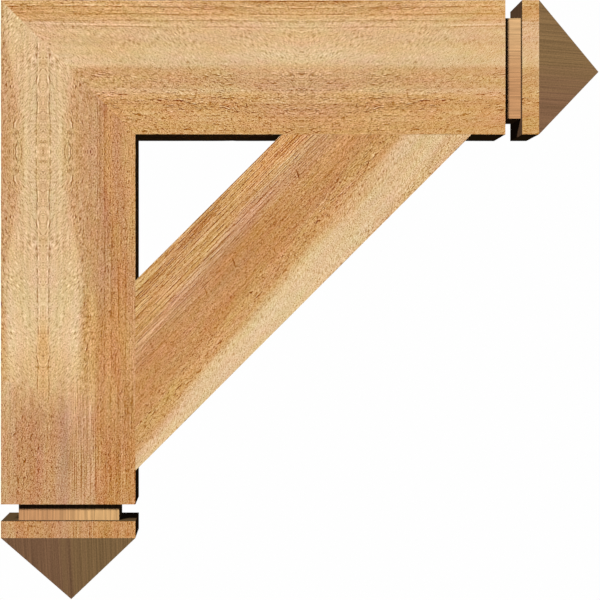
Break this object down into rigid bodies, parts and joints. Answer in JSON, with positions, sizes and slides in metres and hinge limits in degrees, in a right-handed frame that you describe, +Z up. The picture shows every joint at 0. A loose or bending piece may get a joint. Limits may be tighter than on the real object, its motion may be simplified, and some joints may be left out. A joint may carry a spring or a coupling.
{
  "type": "wooden corbel bracket",
  "caption": "Rough-sawn timber corbel bracket: arm and wall post mitred at the corner, diagonal brace, and grooved ends with a collar and pyramid point.",
  "frame": {"origin": "middle of the wall post's flat back face, between the top of the arm and the shoulder above the lower groove", "axes": "+X out from the wall along the arm, +Y across the bracket, +Z up"},
  "size_m": [0.63, 0.14, 0.63],
  "materials": {
    "arm_timber": "rough-sawn, unfinished",
    "post_timber": "rough-sawn, unfinished",
    "brace_timber": "rough-sawn, unfinished"
  },
  "bodies": {
    "root": {"top_arm": "arm_timber", "wall_post": "post_timber", "diagonal_brace": "brace_timber"}
  },
  "joints": []
}
